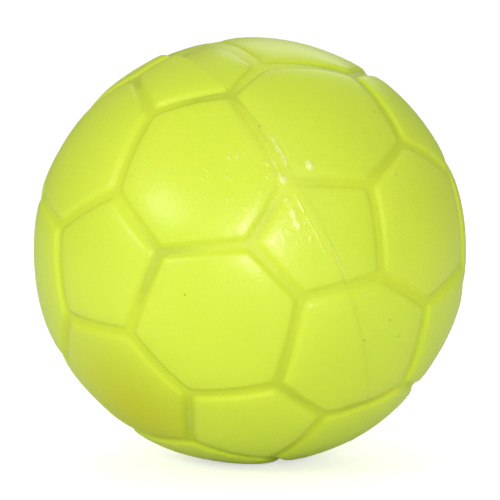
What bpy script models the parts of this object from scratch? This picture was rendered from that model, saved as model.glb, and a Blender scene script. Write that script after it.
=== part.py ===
"""Playground ball: a moulded rubber cover in two halves over a nylon carcass, a bladder and a valve.

Metres, +Z up, origin at the ball's centre. The ball stands on the small flat that its own
weight presses into the cover. Its relief is the classic pattern of 12 pentagons and 20
hexagons, parted by shallow grooves, and the two halves of the cover meet on one great circle.
"""

import math

import bmesh
import bpy
from mathutils import Euler, Matrix, Vector

# Driving dimensions, in metres.
BALL_RADIUS = 0.108
CONTACT_RADIUS = 0.010
GROOVE_WIDTH = 0.0080
GROOVE_FLOOR = 0.0046
GROOVE_DEPTH = 0.0012
COVER_WALL = 0.0020
CARCASS_WALL = 0.0008
BLADDER_WALL = 0.0008
GAP = 0.0003

# How the moulded pattern is turned on the standing ball.
PATTERN_TURN = Euler([math.radians(angle) for angle in (23.3, 13.8, -60.8)])
# Each pentagon is numbered as its corner of an icosahedron is: 0 at the top pole, 1 to 5 round
# the upper ring, 6 to 10 round the lower ring, and 11 at the bottom pole. A pair names the
# corner of the first pentagon that faces the second one. The mould was laid out by hand, so
# some corners stand this many millimetres east and north of the regular pattern.
CORNER_DRIFT_MM = {
    (0, 1): (-3, 3),
    (0, 2): (-10, -12),
    (0, 5): (2, 0),
    (1, 0): (1, -10),
    (1, 2): (-1, -2),
    (1, 5): (3, -2),
    (1, 8): (-2, 4),
    (1, 9): (-1, -3),
    (2, 0): (-5, -1),
    (2, 1): (-5, -4),
    (5, 0): (5, -1),
    (5, 1): (2, 1),
    (5, 4): (5, 2),
    (8, 5): (0, 3),
    (8, 7): (4, 4),
    (8, 9): (-5, 7),
    (9, 1): (-5, 4),
}
EDGE_CUTS = 3
PANEL_RINGS = (0.68, 0.5)

# The valve stands in the middle of pentagon 4. Its heights are measured from the ball's centre.
VALVE_PENTAGON = 4
STEM_RADIUS = 0.0052
STEM_TOP = BALL_RADIUS - 0.0007
SLEEVE_RADIUS = 0.0044
SLEEVE_END = 0.0915
BORE_RADIUS = 0.0028
SEAT_RADIUS = 0.0039
SEAT_DEPTH = 0.0015
FLANGE_RADIUS = 0.0140
FLANGE_WALL = 0.0016
PATCH_RADIUS = 0.0180
PATCH_WALL = 0.0008
INSERT_HEAD = 0.0010
INSERT_END = 0.0930
NEEDLE_RADIUS = 0.0009
NEEDLE_DEPTH = 0.0080
HOLE_CLEARANCE = 0.0004
CUTTER_LENGTH = 0.0300
TURN_STEPS = 24
DOME_STEPS = 5
SPHERE_SUBDIVISIONS = 4

# Each layer's outer radius follows from the one outside it.
CORE_RADIUS = BALL_RADIUS - COVER_WALL
CARCASS_RADIUS = CORE_RADIUS - GAP
BLADDER_RADIUS = CARCASS_RADIUS - CARCASS_WALL - GAP
# The bladder's flat facets stand this far inside its true sphere.
FACET_ALLOWANCE = 0.0005
PATCH_DOME = BLADDER_RADIUS - BLADDER_WALL - FACET_ALLOWANCE - GAP
FLANGE_DOME = PATCH_DOME - PATCH_WALL - GAP
CONTACT_HEIGHT = -math.sqrt(BALL_RADIUS**2 - CONTACT_RADIUS**2)


def clear_scene():
    for item in list(bpy.data.objects):
        bpy.data.objects.remove(item, do_unlink=True)


def new_collection(name):
    collection = bpy.data.collections.new(name)
    bpy.context.scene.collection.children.link(collection)
    return collection


def new_material(name, color, roughness):
    material = bpy.data.materials.new(name)
    material.use_nodes = True
    shader = material.node_tree.nodes["Principled BSDF"]
    shader.inputs["Base Color"].default_value = (*color, 1.0)
    shader.inputs["Roughness"].default_value = roughness
    shader.inputs["Metallic"].default_value = 0.0
    return material


def add_object(name, bm, collection, material=None):
    """Turns a bmesh into an object, shaded smooth except at its real edges."""
    mesh = bpy.data.meshes.new(name)
    bm.to_mesh(mesh)
    bm.free()
    mesh.shade_smooth()
    mesh.set_sharp_from_angle(angle=math.radians(35))
    item = bpy.data.objects.new(name, mesh)
    if material:
        mesh.materials.append(material)
    collection.objects.link(item)
    return item


def hide_helper(item):
    item.hide_render = True
    item.display_type = "WIRE"


def cut(item, cutter):
    modifier = item.modifiers.new("cut_" + cutter.name, "BOOLEAN")
    modifier.operation = "DIFFERENCE"
    modifier.object = cutter


def pentagon_centres():
    """The twelve corners of an icosahedron, turned to the ball's pose."""
    ring_height = math.atan(0.5)
    centres = [Vector((0, 0, 1))]
    for height, start in ((ring_height, 0), (-ring_height, math.pi)):
        for step in range(5):
            angle = start + step * math.tau / 5
            flat = math.cos(height)
            centres.append(Vector((flat * math.cos(angle), flat * math.sin(angle), math.sin(height))))
    centres.append(Vector((0, 0, -1)))
    turn = PATTERN_TURN.to_matrix()
    return [turn @ centre for centre in centres]


def drifted(direction, centres):
    """Moves a corner of the pattern by its own drift along the surface."""
    nearest = sorted(range(12), key=lambda index: -centres[index].dot(direction))
    east_mm, north_mm = CORNER_DRIFT_MM.get((nearest[0], nearest[1]), (0, 0))
    east = Vector((0, 0, 1)).cross(direction).normalized()
    north = direction.cross(east)
    shift = (east * east_mm + north * north_mm) * 0.001 / BALL_RADIUS
    return (direction + shift).normalized()


def moulded_surface():
    """The whole outer skin: a truncated icosahedron, blown up to the sphere and grooved."""
    centres = pentagon_centres()
    bm = bmesh.new()
    bmesh.ops.create_icosphere(bm, subdivisions=1, radius=1.0)
    bmesh.ops.bevel(
        bm, geom=bm.verts[:], offset=100 / 3, offset_type="PERCENT", segments=1, affect="VERTICES"
    )
    bm.transform(PATTERN_TURN.to_matrix().to_4x4())
    for vert in bm.verts:
        vert.co = drifted(vert.co.normalized(), centres)
    bmesh.ops.subdivide_edges(bm, edges=bm.edges[:], cuts=EDGE_CUTS)
    for vert in bm.verts:
        vert.co.normalize()
    panels = bm.faces[:]
    floor = GROOVE_FLOOR / 2 / BALL_RADIUS
    shoulder = GROOVE_WIDTH / 2 / BALL_RADIUS
    bmesh.ops.inset_individual(bm, faces=panels, thickness=floor, use_even_offset=True)
    groove_floor = bm.verts[:]
    bmesh.ops.inset_individual(bm, faces=panels, thickness=shoulder - floor, use_even_offset=True)
    for panel in panels:
        middle = panel.calc_center_median()
        for share in PANEL_RINGS:
            bmesh.ops.inset_individual(bm, faces=[panel], thickness=0)
            for vert in panel.verts:
                vert.co = middle.lerp(vert.co, share)
    bmesh.ops.poke(bm, faces=panels)
    for vert in bm.verts:
        vert.co = vert.co.normalized() * BALL_RADIUS
    for vert in groove_floor:
        vert.co = vert.co.normalized() * (BALL_RADIUS - GROOVE_DEPTH)
    bm.normal_update()
    return bm


def trim(bm, point, normal):
    """Cuts away what lies beyond a plane, and closes the cut with a flat face."""
    everything = bm.verts[:] + bm.edges[:] + bm.faces[:]
    cut_parts = bmesh.ops.bisect_plane(
        bm, geom=everything, dist=1e-7, plane_co=point, plane_no=normal, clear_outer=True
    )["geom_cut"]
    rim = [part for part in cut_parts if isinstance(part, bmesh.types.BMEdge)]
    bmesh.ops.holes_fill(bm, edges=rim, sides=0)


def sphere(radius):
    bm = bmesh.new()
    bmesh.ops.create_icosphere(bm, subdivisions=SPHERE_SUBDIVISIONS, radius=radius)
    return bm


def add_cover_half(name, side, core, collection, material):
    """One moulded half: its side of the skin, hollowed by the core."""
    parting = PATTERN_TURN.to_matrix() @ Vector((0, side, 0))
    bm = moulded_surface()
    trim(bm, parting * GAP / 2, -parting)
    trim(bm, Vector((0, 0, CONTACT_HEIGHT)), Vector((0, 0, -1)))
    bmesh.ops.recalc_face_normals(bm, faces=bm.faces[:])
    half = add_object(name, bm, collection, material)
    cut(half, core)
    return half


def add_layer(name, radius, wall, collection, material):
    """A thin closed ball of one wall thickness."""
    layer = add_object(name, sphere(radius), collection, material)
    solidify = layer.modifiers.new("wall", "SOLIDIFY")
    solidify.thickness = wall
    solidify.offset = -1
    solidify.use_even_offset = True
    return layer


def dome(radius, start, end):
    """Points of a profile along a sphere of this radius, from one distance off the axis to another."""
    points = []
    for step in range(DOME_STEPS + 1):
        off_axis = start + (end - start) * step / DOME_STEPS
        points.append((off_axis, math.sqrt(radius**2 - off_axis**2)))
    return points


def add_turned(name, profile, collection, material, axis, closed):
    """A profile of (distance off the axis, height) points, turned about the valve's axis."""
    bm = bmesh.new()
    verts = [bm.verts.new((off_axis, 0, height)) for off_axis, height in profile]
    for first, second in zip(verts, verts[1:]):
        bm.edges.new((first, second))
    if closed:
        bm.edges.new((verts[-1], verts[0]))
    item = add_object(name, bm, collection, material)
    item.parent = axis
    screw = item.modifiers.new("turn", "SCREW")
    screw.steps = TURN_STEPS
    screw.render_steps = TURN_STEPS
    screw.use_merge_vertices = True
    screw.merge_threshold = 0.00001
    screw.use_smooth_shade = True
    return item


def add_valve_axis(collection):
    """An empty at the ball's centre whose Z axis runs out through the valve."""
    axis = bpy.data.objects.new("valve_axis", None)
    collection.objects.link(axis)
    outward = pentagon_centres()[VALVE_PENTAGON]
    axis.rotation_euler = outward.to_track_quat("Z", "Y").to_euler()
    return axis


def housing_profile():
    """From the seat out over the stem's top, down it and round the flange, to the sleeve's end."""
    lower_dome = FLANGE_DOME - FLANGE_WALL
    return [
        (BORE_RADIUS, STEM_TOP - SEAT_DEPTH),
        (SEAT_RADIUS, STEM_TOP - SEAT_DEPTH),
        (SEAT_RADIUS, STEM_TOP),
        (STEM_RADIUS - GAP, STEM_TOP),
        (STEM_RADIUS, STEM_TOP - GAP),
        *dome(FLANGE_DOME, STEM_RADIUS, FLANGE_RADIUS),
        *reversed(dome(lower_dome, SLEEVE_RADIUS, FLANGE_RADIUS)),
        (SLEEVE_RADIUS, SLEEVE_END),
        (BORE_RADIUS, SLEEVE_END),
    ]


def insert_profile():
    """From the needle hole's floor out over the head, and down the shank to its rounded end."""
    head_radius = SEAT_RADIUS - GAP
    shank_radius = BORE_RADIUS - GAP
    top = STEM_TOP - SEAT_DEPTH + GAP + INSERT_HEAD
    round_end = [
        (shank_radius * math.cos(turn), INSERT_END + shank_radius * (1 - math.sin(turn)))
        for turn in (0, math.pi / 4)
    ]
    round_end.append((0, INSERT_END))
    return [
        (0, top - NEEDLE_DEPTH),
        (NEEDLE_RADIUS, top - NEEDLE_DEPTH),
        (NEEDLE_RADIUS, top - GAP),
        (NEEDLE_RADIUS + GAP, top),
        (head_radius - GAP, top),
        (head_radius, top - GAP),
        (head_radius, top - INSERT_HEAD),
        (shank_radius, top - INSERT_HEAD),
        *round_end,
    ]


def patch_profile():
    inner = STEM_RADIUS + GAP
    return [
        *dome(PATCH_DOME, inner, PATCH_RADIUS),
        *reversed(dome(PATCH_DOME - PATCH_WALL, inner, PATCH_RADIUS)),
    ]


def add_hole_cutter(collection, axis):
    """The round hole that the valve's stem passes through in every layer."""
    bm = bmesh.new()
    radius = STEM_RADIUS + HOLE_CLEARANCE
    bmesh.ops.create_cone(
        bm, cap_ends=True, segments=TURN_STEPS, radius1=radius, radius2=radius, depth=CUTTER_LENGTH
    )
    bmesh.ops.translate(bm, verts=bm.verts[:], vec=(0, 0, BALL_RADIUS))
    cutter = add_object("valve_hole", bm, collection)
    cutter.parent = axis
    hide_helper(cutter)
    return cutter


def build():
    clear_scene()
    parts = new_collection("playground_ball")
    cutters = new_collection("cutters")
    lime = new_material("cover_rubber", (0.60, 0.86, 0.07), 0.38)
    nylon = new_material("nylon_winding", (0.80, 0.78, 0.70), 0.80)
    butyl = new_material("bladder_butyl", (0.03, 0.03, 0.03), 0.60)
    plug_rubber = new_material("valve_rubber", (0.05, 0.05, 0.05), 0.50)

    axis = add_valve_axis(parts)
    core = add_object("core", sphere(CORE_RADIUS), cutters)
    hide_helper(core)
    hole = add_hole_cutter(cutters, axis)

    add_cover_half("cover_half_a", 1, core, parts, lime)
    valve_half = add_cover_half("cover_half_b", -1, core, parts, lime)
    carcass = add_layer("wound_carcass", CARCASS_RADIUS, CARCASS_WALL, parts, nylon)
    bladder = add_layer("bladder", BLADDER_RADIUS, BLADDER_WALL, parts, butyl)
    for layer in (valve_half, carcass, bladder):
        cut(layer, hole)

    add_turned("valve_patch", patch_profile(), parts, butyl, axis, closed=True)
    add_turned("valve_housing", housing_profile(), parts, plug_rubber, axis, closed=True)
    add_turned("valve_insert", insert_profile(), parts, plug_rubber, axis, closed=False)


build()
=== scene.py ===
# The looks of a moulded rubber playground ball: its two cover halves with their grooved relief,
# the flash trimmed along the mould's parting line, the needle valve, and a plain pale studio.
import math

import bmesh
import bpy
import numpy as np
from mathutils import Euler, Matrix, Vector


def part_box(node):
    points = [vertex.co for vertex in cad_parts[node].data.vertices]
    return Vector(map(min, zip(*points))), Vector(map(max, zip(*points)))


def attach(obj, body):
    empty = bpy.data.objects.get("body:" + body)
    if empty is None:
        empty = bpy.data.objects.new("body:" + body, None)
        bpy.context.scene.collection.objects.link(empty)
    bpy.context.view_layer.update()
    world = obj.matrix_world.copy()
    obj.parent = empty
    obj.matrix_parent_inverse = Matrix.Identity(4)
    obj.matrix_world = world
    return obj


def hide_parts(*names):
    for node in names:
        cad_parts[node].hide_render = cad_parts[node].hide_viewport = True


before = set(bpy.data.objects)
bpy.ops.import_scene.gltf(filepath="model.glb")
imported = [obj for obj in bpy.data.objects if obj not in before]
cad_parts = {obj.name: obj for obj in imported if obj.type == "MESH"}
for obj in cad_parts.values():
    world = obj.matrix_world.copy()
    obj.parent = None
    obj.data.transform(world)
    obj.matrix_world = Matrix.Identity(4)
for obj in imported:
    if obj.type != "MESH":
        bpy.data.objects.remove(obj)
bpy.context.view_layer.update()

# The design's own dimensions, in metres, as the solids have them.
MM = 0.001
BALL_RADIUS = 0.108
COVER_WALL = 0.0020
GAP = 0.0003
CONTACT_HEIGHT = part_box("cover_half_b")[0][2]

# The relief as it looks, softer than the solids' straight grooves: its groove, and the rounded
# shoulder of the panels beside it.
GROOVE_WIDTH = 0.0092
GROOVE_FLOOR = 0.0024
GROOVE_DEPTH = 0.0012
SHOULDER_DROP = 0.0007
SHOULDER_WIDTH = 0.0090
CORNER_ROUNDING = 0.0008

# The valve, in the middle of its pentagon. Its heights are measured from the ball's centre.
VALVE_PENTAGON = 4
STEM_RADIUS = 0.0052
STEM_TOP = BALL_RADIUS - 0.0007
SLEEVE_RADIUS = 0.0044
SLEEVE_END = 0.0915
BORE_RADIUS = 0.0028
SEAT_RADIUS = 0.0039
SEAT_DEPTH = 0.0015
FLANGE_RADIUS = 0.0140
FLANGE_DOME = 0.1019
FLANGE_WALL = 0.0016
INSERT_HEAD = 0.0010
INSERT_END = 0.0930
NEEDLE_RADIUS = 0.0009
NEEDLE_DEPTH = 0.0080
HOLE_RADIUS = STEM_RADIUS + 0.0004
HOLE_FILLET = 0.0006
ROUND_ZONE_RADIUS = 0.0135
BEAD_RADIUS = 0.0090
BEAD_WIDTH = 0.0008
BEAD_HEIGHT = 0.00028
TURN_STEPS = 96
SHARP_ANGLE = math.radians(50)

# The moulded pattern, turned on the standing ball, and the drift of its hand-laid corners in
# millimetres east and north. A pair names the corner of the first pentagon facing the second.
PATTERN_TURN = Euler([math.radians(angle) for angle in (23.3, 13.8, -60.8)])
CORNER_DRIFT_MM = {
    (0, 1): (-3, 3),
    (0, 2): (-10, -12),
    (0, 5): (2, 0),
    (1, 0): (1, -10),
    (1, 2): (-1, -2),
    (1, 5): (3, -2),
    (1, 8): (-2, 4),
    (1, 9): (-1, -3),
    (2, 0): (-5, -1),
    (2, 1): (-5, -4),
    (5, 0): (5, -1),
    (5, 1): (2, 1),
    (5, 4): (5, 2),
    (8, 5): (0, 3),
    (8, 7): (4, 4),
    (8, 9): (-5, 7),
    (9, 1): (-5, 4),
}
NEIGHBOUR_COSINE = 1 / math.sqrt(5)

# Places near the parting line are given in millimetres along it, downwards from its foremost
# point, and across it, towards the ball's right.
# A ridge of flash: its two ends (along, across), its height and its half width.
FLASH_RIDGES_MM = [
    ((-54, 0.6), (-43, 0.8), 0.24, 0.55),
    ((-46, 1.4), (-28.5, 0.1), 0.50, 0.90),
    ((-37, -4.2), (-22, -5.8), 0.40, 0.60),
    ((-16, -4.5), (-4, -4.6), 0.40, 0.50),
    ((-5, -4.6), (20, -3.6), 0.22, 0.40),
    ((4.5, -5.3), (9, -4.9), 0.26, 0.40),
    ((12, 0.0), (34, 1.4), 0.32, 0.45),
    ((-16, -8.9), (3, -10.0), 0.34, 1.30),
    ((96, 0.4), (118, -0.3), 0.20, 0.40),
    ((150, 0.5), (187, 0.2), 0.22, 0.40),
    ((205, -3.6), (226, -3.9), 0.20, 0.36),
    ((248, 0.2), (290, 0.6), 0.18, 0.40),
    ((-118, 0.3), (-86, -0.2), 0.12, 0.40),
]
# A drop of rubber: its place, half length, half width and height.
DROPS_MM = [
    ((-24.0, -5.4), 2.8, 2.1, 0.60),
    ((-28.5, -9.2), 1.8, 1.2, 0.26),
    ((-24.0, 9.6), 2.8, 1.9, 0.78),
    ((-3.0, -31.0), 1.6, 1.2, 0.16),
    ((214, 5.2), 1.8, 1.1, 0.40),
]
# Where flash has filled the grooves: place, radius and share filled.
FILLS_MM = [
    ((-67, -1), 11, 0.50),
    ((-54, -1), 12, 0.75),
    ((-38, -2), 14, 0.95),
    ((-22, -3), 11, 0.90),
    ((14, 25), 20, 0.40),
    ((42, 20), 16, 0.30),
    ((215, -2), 13, 0.70),
]
# Pinholes in the skin, darkened with painted shade: their places.
PINHOLES_MM = [
    (-42, 64), (-54, 0), (-56, -23.5), (64, 17), (76, 20), (-2, 52.5), (54, 54), (67, 1), (7, -73),
    (150, 40), (196, -62), (233, 22), (260, -35), (-120, -48), (120, 71),
]
PINHOLE_RADIUS = 0.00050
PINHOLE_DEPTH = 0.00035
# The small torn specks strewn beside the parting line: how many, and the zone's limits.
SPECKS = 46
SPECKS_ALONG_MM = (-50, 14)
SPECKS_ACROSS_MM = (-38, -3)
# One mould half sits turned by this much about the parting axis, and its edge stands lower at
# the top of the parting line.
MOULD_SLIP = 0.0008
STEP_PLACE = -0.146
STEP_DROP = 0.0011
STEP_RISE = 0.0008
# The standing ball is wider by this share, and lower at the top, but not beside its valve.
SPREAD = 0.0100
SAG = 0.0075
STIFF_RADIUS = 0.0130

# The painted glint on raised flash fades in between these heights of flash.
GLINT_LOW = 0.00006
GLINT_HIGH = 0.00036
# The hair line that the parting leaves everywhere.
HAIR_HEIGHT = 0.00005
HAIR_WIDTH = 0.0004

# The middle of the patch of painted shade, olive in tone, low on the left, and how far it spreads as
# an angle.
LOW_SHADE_PLACE = np.array([-0.513, -0.537, -0.670])
LOW_SHADE_REACH = 0.35

# The strength of the light from all round, and of what glossy surfaces reflect of it.
AROUND = 0.57
REFLECTED = 0.22

# The camera's distance in ball radii, and the ball's radius as a share of the picture's width.
VIEW_DISTANCE = 14
BALL_SHARE = 0.429

# How finely the skin is meshed: (steps along an edge, rings over the groove in millimetres,
# rings over the rest of a panel).
FINE = (36, [0, 1.0, *[1.8 + 0.28 * ring for ring in range(11)], 5.3, 6.4], 7)
COARSE = (9, [0, 4], 3)


def unit(vectors):
    return vectors / np.linalg.norm(vectors, axis=-1, keepdims=True)


def pentagon_centres():
    """The twelve corners of an icosahedron: pole, upper ring, lower ring, pole."""
    height = math.atan(0.5)
    centres = [(0, 0, 1)]
    for level, start in ((height, 0), (-height, math.pi)):
        for step in range(5):
            angle = start + step * math.tau / 5
            flat = math.cos(level)
            centres.append((flat * math.cos(angle), flat * math.sin(angle), math.sin(level)))
    centres.append((0, 0, -1))
    return np.array(centres) @ np.array(PATTERN_TURN.to_matrix()).T


CENTRES = pentagon_centres()
VALVE_AXIS = CENTRES[VALVE_PENTAGON]
# The parting line's axes: its plane's normal, its foremost point, and the way down from there.
PARTING = np.array(PATTERN_TURN.to_matrix() @ Vector((0, 1, 0)))
VIEW_HEIGHT = math.radians(6)
TO_VIEW = np.array([0, -math.cos(VIEW_HEIGHT), math.sin(VIEW_HEIGHT)])
FOREMOST = unit(TO_VIEW - (TO_VIEW @ PARTING) * PARTING)
DOWNWARD = np.cross(PARTING, FOREMOST)


def seam_places(directions):
    """How far along the parting line and across it each direction is, in metres."""
    along = np.arctan2(directions @ DOWNWARD, directions @ FOREMOST)
    across = np.arcsin(np.clip(directions @ PARTING, -1, 1))
    return np.stack([along, across], axis=-1) * BALL_RADIUS


def seam_direction(along_mm, across_mm):
    """The direction of a place given along and across the parting line."""
    along = along_mm * MM / BALL_RADIUS
    across = across_mm * MM / BALL_RADIUS
    ahead = FOREMOST * math.cos(along) + DOWNWARD * math.sin(along)
    return ahead * math.cos(across) + PARTING * math.sin(across)


def corner(first, second):
    """The junction of grooves where one pentagon faces another, with its drift."""
    direction = unit(2 * CENTRES[first] + CENTRES[second])
    east_mm, north_mm = CORNER_DRIFT_MM.get((first, second), (0, 0))
    east = unit(np.cross((0, 0, 1), direction))
    north = np.cross(direction, east)
    return unit(direction + (east * east_mm + north * north_mm) * MM / BALL_RADIUS)


def neighbours(index):
    """The pentagons next to this one, in order round it."""
    close = [k for k in range(12) if abs(CENTRES[k] @ CENTRES[index] - NEIGHBOUR_COSINE) < 1e-3]
    side = unit(np.cross(CENTRES[index], CENTRES[close[0]]))
    ahead = np.cross(side, CENTRES[index])
    return sorted(close, key=lambda k: math.atan2(CENTRES[k] @ side, CENTRES[k] @ ahead))


def panels():
    """The corners of each of the 12 pentagons and 20 hexagons, anticlockwise from outside."""
    loops = [np.array([corner(index, k) for k in neighbours(index)]) for index in range(12)]
    for a in range(12):
        for b in neighbours(a):
            for c in neighbours(a):
                together = c in neighbours(b)
                outward = np.linalg.det([CENTRES[a], CENTRES[b], CENTRES[c]]) > 0
                if together and outward and a < min(b, c):
                    pairs = ((a, b), (b, a), (b, c), (c, b), (c, a), (a, c))
                    loops.append(np.array([corner(*pair) for pair in pairs]))
    return loops


PANELS = panels()


def panel_walls(corners):
    """The inward normals of the planes through a panel's edges."""
    return unit(np.cross(corners, np.roll(corners, -1, axis=0)))


def panel_rings(corners, fineness):
    """Rings of directions from a panel's outline to near its middle, and the middle."""
    edge_steps, groove_mm, rings = fineness
    middle = unit(corners.sum(axis=0))
    reach = BALL_RADIUS / MM * np.arcsin(panel_walls(corners) @ middle).mean()
    groove = [ring / reach for ring in groove_mm]
    steps = np.arange(edge_steps)[:, None] / edge_steps
    outline = unit(np.concatenate([
        start * (1 - steps) + end * steps for start, end in zip(corners, np.roll(corners, -1, axis=0))
    ]))
    inner = np.linspace(groove[-1], 1, rings + 1)[1:-1]
    return [unit(outline * (1 - share) + middle * share) for share in (*groove, *inner)], middle


def holed_rings(corners, fineness):
    """The same for the valve's panel, whose rings turn round and end at the edge of its hole."""
    edge_steps, groove_mm, rings = fineness
    whole, middle = panel_rings(corners, fineness)
    outer = whole[len(groove_mm) - 1]
    flat = outer - middle * (outer @ middle)[:, None]
    around = unit(flat)
    spread = np.arctan2(np.linalg.norm(flat, axis=1), outer @ middle)
    round_rings, fillet_rings = (4 * rings, 7) if rings > 3 else (2, 2)
    round_part = np.linspace(ROUND_ZONE_RADIUS, HOLE_RADIUS + HOLE_FILLET, round_rings)
    quarter_turn = np.linspace(0, math.pi / 2, fillet_rings)
    fillet = HOLE_RADIUS + HOLE_FILLET * (1 - np.sin(quarter_turn))
    found = whole[:len(groove_mm)]
    for share in np.linspace(0, 1, rings + 1)[1:-1]:
        angle = spread * (1 - share) + round_part[0] / BALL_RADIUS * share
        found.append(middle * np.cos(angle)[:, None] + around * np.sin(angle)[:, None])
    for radius in (*round_part, *fillet[1:]):
        angle = radius / BALL_RADIUS
        found.append(middle * math.cos(angle) + around * math.sin(angle))
    return found


def directions_mesh(fineness):
    """A mesh of unit directions over the whole ball, following its panels, open at the valve."""
    points, faces, start = [], [], 0
    for index, corners in enumerate(PANELS):
        rings, middle = panel_rings(corners, fineness)
        holed = index == VALVE_PENTAGON
        if holed:
            rings = holed_rings(corners, fineness)
        around = np.arange(len(rings[0]))
        ahead = np.roll(around, -1)
        for ring in range(len(rings) - 1):
            low = start + ring * len(around)
            high = low + len(around)
            faces += np.stack([low + around, low + ahead, high + ahead, high + around], 1).tolist()
        points += rings
        start += len(rings) * len(around)
        if not holed:
            last = start - len(around)
            hub = np.full(len(around), start)
            faces += np.stack([last + around, last + ahead, hub], 1).tolist()
            points.append(middle[None])
            start += 1
    mesh = bpy.data.meshes.new("directions")
    mesh.from_pydata(np.concatenate(points).tolist(), [], faces)
    bm = bmesh.new()
    bm.from_mesh(mesh)
    bpy.data.meshes.remove(mesh)
    bmesh.ops.remove_doubles(bm, verts=bm.verts[:], dist=1e-5)
    return bm


def places_of(bm):
    """The direction of each vertex."""
    bm.verts.index_update()
    return unit(np.array([vert.co for vert in bm.verts]))


def refine(bm, zone, longest_mm):
    """Halves the edges in a zone of directions until none is longer than this."""
    longest = longest_mm * MM / BALL_RADIUS
    for _ in range(5):
        inside = zone(places_of(bm))
        near = [edge for edge in bm.edges if any(inside[vert.index] for vert in edge.verts)]
        near = [edge for edge in near if edge.calc_length() > longest]
        if not near:
            return
        bmesh.ops.subdivide_edges(bm, edges=near, cuts=1, use_grid_fill=True, use_single_edge=True)
        for vert in bm.verts:
            vert.co.normalize()


def within(along_mm, across_mm):
    """A zone beside the parting line, between these limits."""
    def zone(directions):
        along, across = (seam_places(directions) / MM).T
        in_length = (along > along_mm[0]) & (along < along_mm[1])
        return in_length & (across > across_mm[0]) & (across < across_mm[1])
    return zone


def around_pinholes(radius_mm):
    """A zone round every pinhole, of this radius."""
    centres = np.array([seam_direction(*place) for place in PINHOLES_MM])
    closest = math.cos(radius_mm * MM / BALL_RADIUS)
    return lambda directions: (directions @ centres.T).max(axis=1) > closest


def smooth(values, low, high):
    """From 0 at the low value to 1 at the high one, with soft ends."""
    share = np.clip((values - low) / (high - low), 0, 1)
    return share * share * (3 - 2 * share)


def groove_distance(directions):
    """How far each direction is from the middle of the nearest groove, in metres."""
    found = np.zeros(len(directions))
    best = np.full(len(directions), -np.inf)
    for corners in PANELS:
        across = directions @ panel_walls(corners).T
        inside = across.min(axis=1)
        better = inside > best
        best[better] = inside[better]
        reach = BALL_RADIUS * np.arcsin(np.clip(across[better], -1, 1))
        found[better] = -CORNER_ROUNDING * np.log(np.exp(-reach / CORNER_ROUNDING).sum(axis=1))
    return np.maximum(found, 0)


def waviness(directions):
    """The gentle unevenness of soft rubber: a few broad waves of random direction."""
    rng = np.random.default_rng(7)
    total = np.zeros(len(directions))
    for _ in range(26):
        wavelength = rng.uniform(0.028, 0.075)
        along = unit(rng.normal(size=3)) * BALL_RADIUS * math.tau / wavelength
        total += wavelength * np.sin(directions @ along + rng.uniform(0, math.tau))
    return total * 0.0012


def ridge_height(places, start, end, height, width):
    """A ridge of flash that swells and thins along its length and tapers at both ends."""
    run = end - start
    length = np.linalg.norm(run)
    run = run / length
    gone = (places - start) @ run
    wander = 0.00012 * np.sin(gone / 0.0021 + start[0] * 900)
    aside = (places - start) @ np.array([-run[1], run[0]]) - wander
    swell = 0.72 + 0.28 * np.sin(gone / 0.0011 + start[1] * 700)
    taper = smooth(gone, 0, 0.0025) * (1 - smooth(gone, length - 0.0025, length))
    return height * swell * taper * np.exp(-((aside / width) ** 2))


def drop_height(places, place, length, width, height, turn=0.15):
    """A rounded drop of rubber, longer one way than the other and turned by an angle."""
    ahead = np.array([math.cos(turn), math.sin(turn)])
    apart = places - place
    reach = (apart @ ahead / length) ** 2 + (apart @ np.array([-ahead[1], ahead[0]]) / width) ** 2
    return height * np.exp(-reach * 1.4)


def flash(directions):
    """The height of everything left standing along the parting line."""
    places = seam_places(directions)
    total = HAIR_HEIGHT * np.exp(-((places[:, 1] / HAIR_WIDTH) ** 2))
    for start, end, height, width in FLASH_RIDGES_MM:
        total = total + ridge_height(
            places, np.array(start) * MM, np.array(end) * MM, height * MM, width * MM
        )
    for place, length, width, height in DROPS_MM:
        total = total + drop_height(
            places, np.array(place) * MM, length * MM, width * MM, height * MM
        )
    rng = np.random.default_rng(11)
    for _ in range(SPECKS):
        place = np.array([rng.uniform(*SPECKS_ALONG_MM), rng.uniform(*SPECKS_ACROSS_MM)]) * MM
        length, width = rng.uniform(0.7, 2.4) * MM, rng.uniform(0.5, 0.9) * MM
        height = rng.uniform(0.08, 0.28) * MM
        turn = rng.uniform(-1.2, 1.2)
        total = total + drop_height(places, place, length, width, height, turn)
    return total


def pinholes(directions):
    """How deep inside a pinhole each direction is, from 0 to 1."""
    centres = np.array([seam_direction(*place) for place in PINHOLES_MM])
    apart = BALL_RADIUS * np.arccos(np.clip((directions @ centres.T).max(axis=1), -1, 1))
    return 1 - smooth(apart, 0.2 * PINHOLE_RADIUS, 1.5 * PINHOLE_RADIUS)


def valve_mouth(directions):
    """The round edge of the valve's hole, less the bead moulded round it."""
    apart = BALL_RADIUS * np.arccos(np.clip(directions @ VALVE_AXIS, -1, 1))
    over = np.clip(HOLE_RADIUS + HOLE_FILLET - apart, 0, HOLE_FILLET)
    bead = BEAD_HEIGHT * np.exp(-(((apart - BEAD_RADIUS) / BEAD_WIDTH) ** 2))
    return HOLE_FILLET - np.sqrt(HOLE_FILLET**2 - over**2) - bead


def turned_about_parting(directions, distance):
    """Directions turned about the parting axis, so that they move this far along its line."""
    angle = distance / BALL_RADIUS
    along_axis = (directions @ PARTING)[:, None] * PARTING
    rest = directions - along_axis
    return along_axis + rest * math.cos(angle) + np.cross(PARTING, rest) * math.sin(angle)


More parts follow.
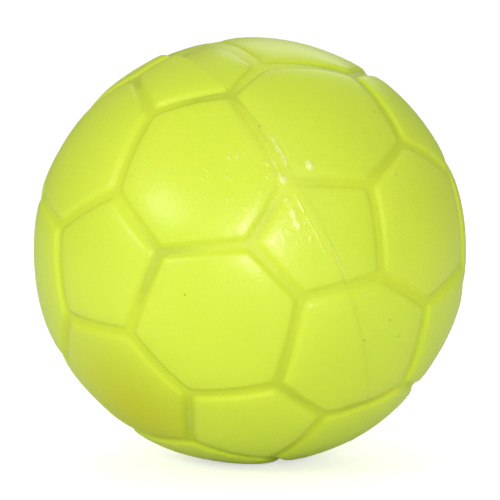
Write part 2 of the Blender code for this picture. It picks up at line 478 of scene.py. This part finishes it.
def relief(directions, side):
    """Distance from the ball's centre to its moulded skin."""
    places = seam_places(directions)
    distance = groove_distance(turned_about_parting(directions, -side * MOULD_SLIP / 2))
    groove = 1 - smooth(distance, GROOVE_FLOOR / 2, GROOVE_WIDTH / 2)
    for place, radius, share in FILLS_MM:
        apart = np.linalg.norm(places - np.array(place) * MM, axis=1)
        groove *= 1 - share * np.exp(-((apart / (radius * MM)) ** 2))
    shoulder = SHOULDER_DROP * (1 - smooth(distance, GROOVE_FLOOR / 2, SHOULDER_WIDTH))
    near_step = np.exp(-(((places[:, 0] - STEP_PLACE) / 0.030) ** 2))
    off = np.abs(places[:, 1])
    if side > 0:
        step = -STEP_DROP * near_step * np.exp(-off / 0.035)
    else:
        step = STEP_RISE * near_step * np.exp(-off / 0.012)
    moulded = -GROOVE_DEPTH * groove - shoulder + waviness(directions) + step
    marks = flash(directions) - PINHOLE_DEPTH * pinholes(directions) - valve_mouth(directions)
    return BALL_RADIUS + moulded + marks


def skin_points(directions, side):
    """The moulded skin, a little spread and sagged where the ball stands, flat at its foot."""
    points = directions * relief(directions, side)[:, None]
    off_valve = BALL_RADIUS * np.arccos(np.clip(directions @ VALVE_AXIS, -1, 1))
    give = 1 - np.exp(-((off_valve / STIFF_RADIUS) ** 4))
    points[:, 0] *= 1 + SPREAD * give
    points[:, 2] *= 1 - SAG * give * smooth(directions[:, 2], -0.3, 0.7)
    points[:, 2] = np.maximum(points[:, 2], CONTACT_HEIGHT)
    return points


def half_of(bm, side):
    """A copy of a directions mesh with only the faces on one side of the parting plane."""
    half = bm.copy()
    outward = PARTING * side
    beyond = [face for face in half.faces if Vector(outward).dot(face.calc_center_median()) < 0]
    bmesh.ops.delete(half, geom=beyond, context="FACES")
    return half


def open_edges(bm, at_parting):
    """The open edges of a directions mesh: those at the parting plane, or the others."""
    def on_plane(edge):
        return abs(Vector(PARTING).dot(edge.verts[0].co)) < 1e-5
    return [edge for edge in bm.edges if edge.is_boundary and on_plane(edge) == at_parting]


def rim_wall(bm, edges, axis, lining_start):
    """The wall between a skin's rim and its lining's rim, stepping round an axis."""
    across = Vector(axis).orthogonal().normalized()
    onward = Vector(axis).cross(across)
    bm.verts.index_update()
    rims = [[], []]
    for vert in {vert for edge in edges for vert in edge.verts}:
        turn = math.atan2(vert.co.dot(onward), vert.co.dot(across))
        rims[vert.index >= lining_start].append((turn, vert.index, vert))
    skin, lining = (sorted(rim) for rim in rims)
    for rim in (skin, lining):
        turn, index, vert = rim[0]
        rim += [(turn + math.tau, index, vert), (math.inf, index, vert)]
    here, there = 0, 0
    while here < len(skin) - 2 or there < len(lining) - 2:
        corners = [skin[here][2], lining[there][2]]
        if skin[here + 1][0] < lining[there + 1][0]:
            here += 1
            corners.append(skin[here][2])
        else:
            there += 1
            corners.append(lining[there][2])
        bm.faces.new(corners)


def finish_piece(name, mesh, material, replaced, body="ball"):
    """Shades a mesh, and puts it in the frame in place of a CAD node."""
    mesh.shade_smooth()
    mesh.set_sharp_from_angle(angle=SHARP_ANGLE)
    mesh.materials.append(material)
    piece = bpy.data.objects.new(name, mesh)
    bpy.context.scene.collection.objects.link(piece)
    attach(piece, body)
    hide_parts(replaced)


def cover_half(name, side, fine, coarse, material, node):
    """One half of the cover: its moulded skin, its smooth lining, and the walls between them."""
    outer, inner = half_of(fine, side), half_of(coarse, side)
    skin = places_of(outer)
    lining = places_of(inner) * (BALL_RADIUS - COVER_WALL)
    both = bmesh.new()
    for part in (outer, inner):
        mesh = bpy.data.meshes.new("part")
        part.to_mesh(mesh)
        part.free()
        both.from_mesh(mesh)
        bpy.data.meshes.remove(mesh)
    rims = [open_edges(both, True), open_edges(both, False)]
    points = np.concatenate([skin_points(skin, side), lining])
    for vert, point in zip(both.verts, points.tolist()):
        vert.co = point
    for rim, axis in zip(rims, (PARTING, VALVE_AXIS)):
        if rim:
            rim_wall(both, rim, axis, len(skin))
    bmesh.ops.recalc_face_normals(both, faces=both.faces[:])
    mesh = bpy.data.meshes.new(name)
    both.to_mesh(mesh)
    both.free()
    for layer, spread_over in LAYERS.items():
        values = np.concatenate([spread_over(skin), np.zeros(len(lining))]).astype(np.float32)
        mesh.attributes.new(layer, "FLOAT", "POINT").data.foreach_set("value", values)
    finish_piece(name, mesh, material, node)


def gloss_film(directions):
    """Where mould release left a glossier film: beside the parting line and over the front. The
    colour is also whitened a little there, a painted sheen.
    """
    along, across = (seam_places(directions) / MM).T
    beside = np.exp(-(((along + 12) / 42) ** 2) - ((across + 14) / 20) ** 2)
    astride = np.exp(-(((along + 20) / 48) ** 2) - (across / 13) ** 2)
    return np.maximum(0.45 * beside, astride)


def flash_glint(directions):
    """Where the flash stands high enough to take a painted glint that makes the rubber pale."""
    return smooth(flash(directions), GLINT_LOW, GLINT_HIGH)


def low_left_shade_and_matte(directions):
    """A patch of painted shade, olive in tone, over the far corner of one panel low on the left,
    where the rubber is also rougher.
    """
    corners = min(PANELS, key=lambda panel: -(unit(panel.sum(axis=0)) @ LOW_SHADE_PLACE))
    inside = (directions @ panel_walls(corners).T).min(axis=1)
    apart = np.arccos(np.clip(directions @ LOW_SHADE_PLACE, -1, 1))
    return smooth(inside, 0, 0.03) * np.exp(-((apart / LOW_SHADE_REACH) ** 2))


def painted_seam_shade(directions):
    """Painted shade on the right half beside the parting line, a little darker in colour."""
    along, across = (seam_places(directions) / MM).T
    fade = np.exp(-(((along + 45) / 65) ** 2) - (across / 70) ** 2)
    return smooth(across, -4, 3) * fade


def groove_shade_and_matte(directions):
    """The grooves, where painted shade deepens the colour and the rubber is rougher."""
    return 1 - smooth(groove_distance(directions), 0.0018, 0.0042)


# The layers that the cover's material reads: each is a number at every point of the skin.
LAYERS = {
    "film": gloss_film,
    "flash_glint": flash_glint,
    "pinhole_shade": pinholes,
    "low_left_shade_and_matte": low_left_shade_and_matte,
    "painted_seam_shade": painted_seam_shade,
    "groove_shade_and_matte": groove_shade_and_matte,
}


def rounded(profile, radius, steps=4):
    """A profile of straight runs with each of its inner corners rounded."""
    points = [Vector(profile[0])]
    for before, here, after in zip(profile, profile[1:], profile[2:]):
        here = Vector(here)
        back, on = Vector(before) - here, Vector(after) - here
        reach = min(radius, back.length * 0.45, on.length * 0.45)
        start, end = here + back.normalized() * reach, here + on.normalized() * reach
        for step in range(steps + 1):
            share = step / steps
            middle = here * 2 * share * (1 - share)
            points.append(start * (1 - share) ** 2 + middle + end * share**2)
    return [*points, Vector(profile[-1])]


def turned(name, profile, material, node, body):
    """A piece of the valve: a closed profile turned about the valve's axis."""
    bm = bmesh.new()
    verts = [bm.verts.new((off_axis, 0, height)) for off_axis, height in profile]
    edges = [bm.edges.new(pair) for pair in zip(verts, verts[1:])]
    bmesh.ops.spin(
        bm, geom=verts + edges, cent=(0, 0, 0), axis=(0, 0, 1), angle=math.tau, steps=TURN_STEPS
    )
    bmesh.ops.remove_doubles(bm, verts=bm.verts[:], dist=1e-6)
    bmesh.ops.recalc_face_normals(bm, faces=bm.faces[:])
    bm.transform(Vector(VALVE_AXIS).to_track_quat("Z", "Y").to_matrix().to_4x4())
    mesh = bpy.data.meshes.new(name)
    bm.to_mesh(mesh)
    bm.free()
    finish_piece(name, mesh, material, node, body)


def dome(radius, start, end, steps=12):
    """Points of a profile along a sphere, from one distance off the axis to another."""
    return [(off, math.sqrt(radius**2 - off**2)) for off in np.linspace(start, end, steps)]


def housing_profile():
    """Up the bore, over the seat and the stem, round the flange, and back to the sleeve's lip."""
    seat = STEM_TOP - SEAT_DEPTH
    top = [
        (BORE_RADIUS, SLEEVE_END + 0.001),
        (BORE_RADIUS, seat),
        (SEAT_RADIUS, seat),
        (SEAT_RADIUS, STEM_TOP),
        (STEM_RADIUS, STEM_TOP),
        (STEM_RADIUS, FLANGE_DOME),
    ]
    flange = [
        *dome(FLANGE_DOME, STEM_RADIUS, FLANGE_RADIUS)[1:],
        *reversed(dome(FLANGE_DOME - FLANGE_WALL, SLEEVE_RADIUS, FLANGE_RADIUS)),
    ]
    sleeve = [(SLEEVE_RADIUS, SLEEVE_END + 0.002), (SLEEVE_RADIUS, SLEEVE_END)]
    lip = [(BORE_RADIUS, SLEEVE_END), (BORE_RADIUS, SLEEVE_END + 0.001)]
    return [*rounded(top, 0.00025), *flange, *rounded([*sleeve, *lip], 0.0003)]


def insert_profile():
    """From the needle hole's floor up and over the dished head, and down the shank."""
    head = SEAT_RADIUS - GAP
    shank = BORE_RADIUS - GAP
    top = STEM_TOP - SEAT_DEPTH + GAP + INSERT_HEAD
    neck = [
        (NEEDLE_RADIUS, top - NEEDLE_DEPTH),
        (NEEDLE_RADIUS, top - 0.0006),
        (NEEDLE_RADIUS + 0.0006, top - 0.0001),
        (head, top),
        (head, top - INSERT_HEAD),
        (shank, top - INSERT_HEAD),
        (shank, INSERT_END + shank),
    ]
    tip = [
        (shank * math.cos(turn), INSERT_END + shank * (1 - math.sin(turn)))
        for turn in np.linspace(0, math.pi / 2, 9)[1:-1]
    ]
    return [(0, top - NEEDLE_DEPTH), *rounded(neck, 0.00025), *tip, (0, INSERT_END)]


# Materials


def new_material(name):
    """A material, with its nodes and links."""
    material = bpy.data.materials.new(name)
    material.use_nodes = True
    return material, material.node_tree.nodes, material.node_tree.links


def noise(nodes, links, coordinates, scale, detail=3.0):
    """Cloudy noise between 0 and 1."""
    texture = nodes.new("ShaderNodeTexNoise")
    texture.inputs["Scale"].default_value = scale
    texture.inputs["Detail"].default_value = detail
    links.new(coordinates, texture.inputs["Vector"])
    return texture.outputs["Fac"]


def ramp(nodes, links, value, stops):
    """A colour ramp through (place, colour) stops."""
    node = nodes.new("ShaderNodeValToRGB")
    elements = node.color_ramp.elements
    while len(elements) < len(stops):
        elements.new(0.5)
    for element, (place, color) in zip(elements, stops):
        element.position = place
        element.color = (*color, 1.0)
    links.new(value, node.inputs["Fac"])
    return node.outputs["Color"]


def map_range(nodes, links, value, low, high, to_low, to_high):
    """A value taken from one range to another, and held at its ends."""
    node = nodes.new("ShaderNodeMapRange")
    links.new(value, node.inputs["Value"])
    node.inputs["From Min"].default_value = low
    node.inputs["From Max"].default_value = high
    node.inputs["To Min"].default_value = to_low
    node.inputs["To Max"].default_value = to_high
    return node.outputs["Result"]


def math_node(nodes, links, operation, first, second):
    """Arithmetic between a value and a second value or number."""
    node = nodes.new("ShaderNodeMath")
    node.operation = operation
    links.new(first, node.inputs[0])
    if isinstance(second, float):
        node.inputs[1].default_value = second
    else:
        links.new(second, node.inputs[1])
    return node.outputs[0]


def tinted(nodes, links, color, share, tint, blend="MULTIPLY"):
    """The colour multiplied by a tint or blended with it, as far as the share says."""
    node = nodes.new("ShaderNodeMix")
    node.data_type = "RGBA"
    node.blend_type = blend
    links.new(share, node.inputs[0])
    links.new(color, node.inputs[6])
    node.inputs[7].default_value = (*tint, 1.0)
    return node.outputs[2]


def attribute(nodes, name):
    """One of the skin's layers."""
    node = nodes.new("ShaderNodeAttribute")
    node.attribute_name = name
    return node.outputs["Fac"]


def bump(nodes, links, height, distance, strength=1.0, before=None):
    """A bump of this height in metres, on top of an earlier one."""
    node = nodes.new("ShaderNodeBump")
    node.inputs["Distance"].default_value = distance
    node.inputs["Strength"].default_value = strength
    links.new(height, node.inputs["Height"])
    if before:
        links.new(before, node.inputs["Normal"])
    return node.outputs["Normal"]


def cover_rubber():
    """Fluorescent yellow-green moulded rubber: cloudy colour under a patchy glossy film, with painted
    shade deepening the grooves, the pinholes, a patch low on the left and the right of the parting
    line, and painted glints and sheen whitening it.
    """
    material, nodes, links = new_material("cover_rubber")
    shader = nodes["Principled BSDF"]
    place = nodes.new("ShaderNodeTexCoord").outputs["Object"]
    clouds = noise(nodes, links, place, 16)
    shades = [(0.34, (0.705, 0.892, 0.038)), (0.66, (0.745, 0.898, 0.044))]
    color = ramp(nodes, links, clouds, shades)
    # Painted shade: an olive darkening over a patch low on the left.
    color = tinted(nodes, links, color, attribute(nodes, "low_left_shade_and_matte"), (0.90, 0.79, 0.10))
    # Painted shade: a little darker right of the parting line.
    color = tinted(nodes, links, color, attribute(nodes, "painted_seam_shade"), (0.935, 0.965, 0.95))
    # Painted shade: deeper, less pale colour in the grooves.
    color = tinted(nodes, links, color, attribute(nodes, "groove_shade_and_matte"), (0.985, 0.985, 0.55))
    # Painted shade: the pinholes darkened.
    color = tinted(nodes, links, color, attribute(nodes, "pinhole_shade"), (0.50, 0.46, 0.40))
    # Painted glints on the raised flash and a painted sheen over the gloss film, both whitening the
    # colour.
    glint_flecks = map_range(nodes, links, noise(nodes, links, place, 650), 0.42, 0.58, 0.08, 0.70)
    glint_and_sheen = math_node(nodes, links, "MULTIPLY", attribute(nodes, "flash_glint"), glint_flecks)
    painted_sheen = math_node(nodes, links, "MULTIPLY", attribute(nodes, "film"), 0.07)
    glint_and_sheen = math_node(nodes, links, "ADD", glint_and_sheen, painted_sheen)
    color = tinted(nodes, links, color, glint_and_sheen, (0.93, 0.97, 0.42), blend="MIX")
    links.new(color, shader.inputs["Base Color"])
    spots = noise(nodes, links, place, 75, detail=4.0)
    patches = map_range(nodes, links, spots, 0.38, 0.60, 0.25, 1.0)
    film = math_node(nodes, links, "MULTIPLY", attribute(nodes, "film"), patches)
    rough = map_range(nodes, links, noise(nodes, links, place, 40), 0.3, 0.7, 0.34, 0.41)
    slick = math_node(nodes, links, "MULTIPLY", film, 0.13)
    rough = math_node(nodes, links, "SUBTRACT", rough, slick)
    dry = math_node(nodes, links, "ADD", attribute(nodes, "groove_shade_and_matte"), attribute(nodes, "low_left_shade_and_matte"))
    dry = math_node(nodes, links, "MULTIPLY", dry, 0.18)
    links.new(math_node(nodes, links, "ADD", rough, dry), shader.inputs["Roughness"])
    shader.inputs["Subsurface Weight"].default_value = 0.25
    shader.inputs["Subsurface Radius"].default_value = (1.0, 1.0, 0.25)
    shader.inputs["Subsurface Scale"].default_value = 0.003
    shader.inputs["IOR"].default_value = 1.5
    shader.inputs["Specular IOR Level"].default_value = 0.70
    broad = bump(nodes, links, noise(nodes, links, place, 130), 0.0003, 0.35)
    smear = math_node(nodes, links, "MULTIPLY", noise(nodes, links, place, 560), film)
    smeared = bump(nodes, links, smear, 0.0003, 0.7, before=broad)
    grain = noise(nodes, links, place, 900, detail=2.0)
    links.new(bump(nodes, links, grain, 0.00012, before=smeared), shader.inputs["Normal"])
    return material


def plain_rubber(name, dark, light, rough):
    """Black rubber with a faint bloom and a fine grain."""
    material, nodes, links = new_material(name)
    shader = nodes["Principled BSDF"]
    place = nodes.new("ShaderNodeTexCoord").outputs["Object"]
    cloud = noise(nodes, links, place, 260, detail=5.0)
    links.new(ramp(nodes, links, cloud, [(0.3, dark), (0.7, light)]), shader.inputs["Base Color"])
    cloudy_rough = map_range(nodes, links, cloud, 0.3, 0.7, rough - 0.08, rough + 0.08)
    links.new(cloudy_rough, shader.inputs["Roughness"])
    grain = noise(nodes, links, place, 2600, detail=2.0)
    links.new(bump(nodes, links, grain, 0.00005, 0.4), shader.inputs["Normal"])
    return material


def nylon_winding():
    """Cream nylon thread wound in crossing bands."""
    material, nodes, links = new_material("nylon_winding")
    shader = nodes["Principled BSDF"]
    place = nodes.new("ShaderNodeTexCoord").outputs["Object"]
    heights = []
    for turn in ((0.4, 0.2, 0.0), (1.3, 0.9, 0.6)):
        mapping = nodes.new("ShaderNodeMapping")
        mapping.inputs["Rotation"].default_value = turn
        links.new(place, mapping.inputs["Vector"])
        wave = nodes.new("ShaderNodeTexWave")
        wave.inputs["Scale"].default_value = 260
        wave.inputs["Distortion"].default_value = 1.2
        links.new(mapping.outputs["Vector"], wave.inputs["Vector"])
        heights.append(wave.outputs["Fac"])
    threads = math_node(nodes, links, "MAXIMUM", *heights)
    # Painted shade: the threads' colour is darker where the crossing bands dip between them.
    color = ramp(nodes, links, threads, [(0.2, (0.45, 0.42, 0.34)), (0.9, (0.82, 0.79, 0.70))])
    links.new(color, shader.inputs["Base Color"])
    shader.inputs["Roughness"].default_value = 0.75
    links.new(bump(nodes, links, threads, 0.0003, 0.8), shader.inputs["Normal"])
    return material


def dress_node(node, material):
    """A CAD node that keeps its shape gets a finished material."""
    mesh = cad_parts[node].data
    mesh.materials.clear()
    mesh.materials.append(material)


# Studio


def add_area_light(name, place, size, power):
    """A round white lamp that faces the ball."""
    data = bpy.data.lights.new(name, "AREA")
    data.shape = "DISK"
    data.size = size
    data.energy = power
    lamp = bpy.data.objects.new(name, data)
    lamp.location = place
    lamp.rotation_euler = (-Vector(place)).to_track_quat("-Z", "Y").to_euler()
    bpy.context.scene.collection.objects.link(lamp)


def strength_for(nodes, links, rays, strength):
    """A strength of light for one kind of ray alone."""
    chosen = nodes.new("ShaderNodeLightPath").outputs[rays]
    return math_node(nodes, links, "MULTIPLY", chosen, strength)


def add_world():
    """Even light from all round: the backdrop looks white, and is dark in reflections."""
    world = bpy.data.worlds.new("studio")
    world.use_nodes = True
    nodes, links = world.node_tree.nodes, world.node_tree.links
    background = nodes["Background"]
    background.inputs["Color"].default_value = (1.0, 1.0, 1.0, 1.0)
    seen = strength_for(nodes, links, "Is Camera Ray", 1.0 - AROUND)
    reflected = strength_for(nodes, links, "Is Glossy Ray", AROUND - REFLECTED)
    strength = math_node(nodes, links, "SUBTRACT", seen, reflected)
    links.new(math_node(nodes, links, "ADD", strength, AROUND), background.inputs["Strength"])
    bpy.context.scene.world = world


def add_floor():
    """A pale floor that looks almost white, with the ball's soft shadow on it."""
    just_below = CONTACT_HEIGHT - 0.0001
    bpy.ops.mesh.primitive_plane_add(size=400, location=(0, 0, just_below))
    floor = bpy.context.object
    floor.name = "floor"
    material, nodes, links = new_material("pale_floor")
    shader = nodes["Principled BSDF"]
    shader.inputs["Base Color"].default_value = (0.80, 0.80, 0.80, 1.0)
    shader.inputs["Roughness"].default_value = 0.9
    shader.inputs["Emission Color"].default_value = (1.0, 1.0, 1.0, 1.0)
    links.new(strength_for(nodes, links, "Is Camera Ray", 0.60), shader.inputs["Emission Strength"])
    floor.data.materials.append(material)


def add_studio():
    """Light from all round, a floor, and three lamps."""
    add_world()
    add_floor()
    add_area_light("flash", (0.12, -1.57, 0.32), 0.16, 7.8)
    add_area_light("window", (-1.15, -1.05, 0.68), 0.36, 4.8)
    add_area_light("back", (0.30, 1.50, 1.10), 1.00, 3.5)
    bpy.context.scene.view_settings.view_transform = "Standard"


def add_camera():
    """A long lens a little above the ball's middle, looking along +Y."""
    data = bpy.data.cameras.new("camera")
    data.sensor_width = 36
    data.lens = BALL_SHARE * data.sensor_width * math.sqrt(VIEW_DISTANCE**2 - 1)
    data.clip_start = 0.05
    camera = bpy.data.objects.new("camera", data)
    camera.location = TO_VIEW * VIEW_DISTANCE * BALL_RADIUS
    camera.rotation_euler = (math.pi / 2 - VIEW_HEIGHT, 0, 0)
    bpy.context.scene.collection.objects.link(camera)
    bpy.context.scene.camera = camera


def build():
    add_camera()
    add_studio()
    fine, coarse = directions_mesh(FINE), directions_mesh(COARSE)
    refine(fine, within(SPECKS_ALONG_MM, SPECKS_ACROSS_MM), 1.0)
    refine(fine, within((-56, 37), (-12, 4)), 0.5)
    refine(fine, within((-28, -18), (6, 14)), 0.7)
    refine(fine, around_pinholes(2.0), 0.8)
    refine(fine, around_pinholes(1.0), 0.4)
    for bm in (fine, coarse):
        everything = bm.verts[:] + bm.edges[:] + bm.faces[:]
        bmesh.ops.bisect_plane(
            bm, geom=everything, dist=1e-6, plane_co=(0, 0, 0), plane_no=PARTING
        )
    cover = cover_rubber()
    cover_half("cover_half_a_skin", 1, fine, coarse, cover, "cover_half_a")
    cover_half("cover_half_b_skin", -1, fine, coarse, cover, "cover_half_b")
    fine.free()
    coarse.free()
    butyl = plain_rubber("bladder_butyl", (0.020, 0.020, 0.020), (0.035, 0.034, 0.032), 0.6)
    valve = plain_rubber("valve_rubber", (0.030, 0.030, 0.030), (0.060, 0.058, 0.055), 0.5)
    turned("valve_housing_turned", housing_profile(), valve, "valve_housing", "ball")
    turned("valve_insert_turned", insert_profile(), valve, "valve_insert", "insert")
    dress_node("wound_carcass", nylon_winding())
    dress_node("bladder", butyl)
    dress_node("valve_patch", butyl)


build()
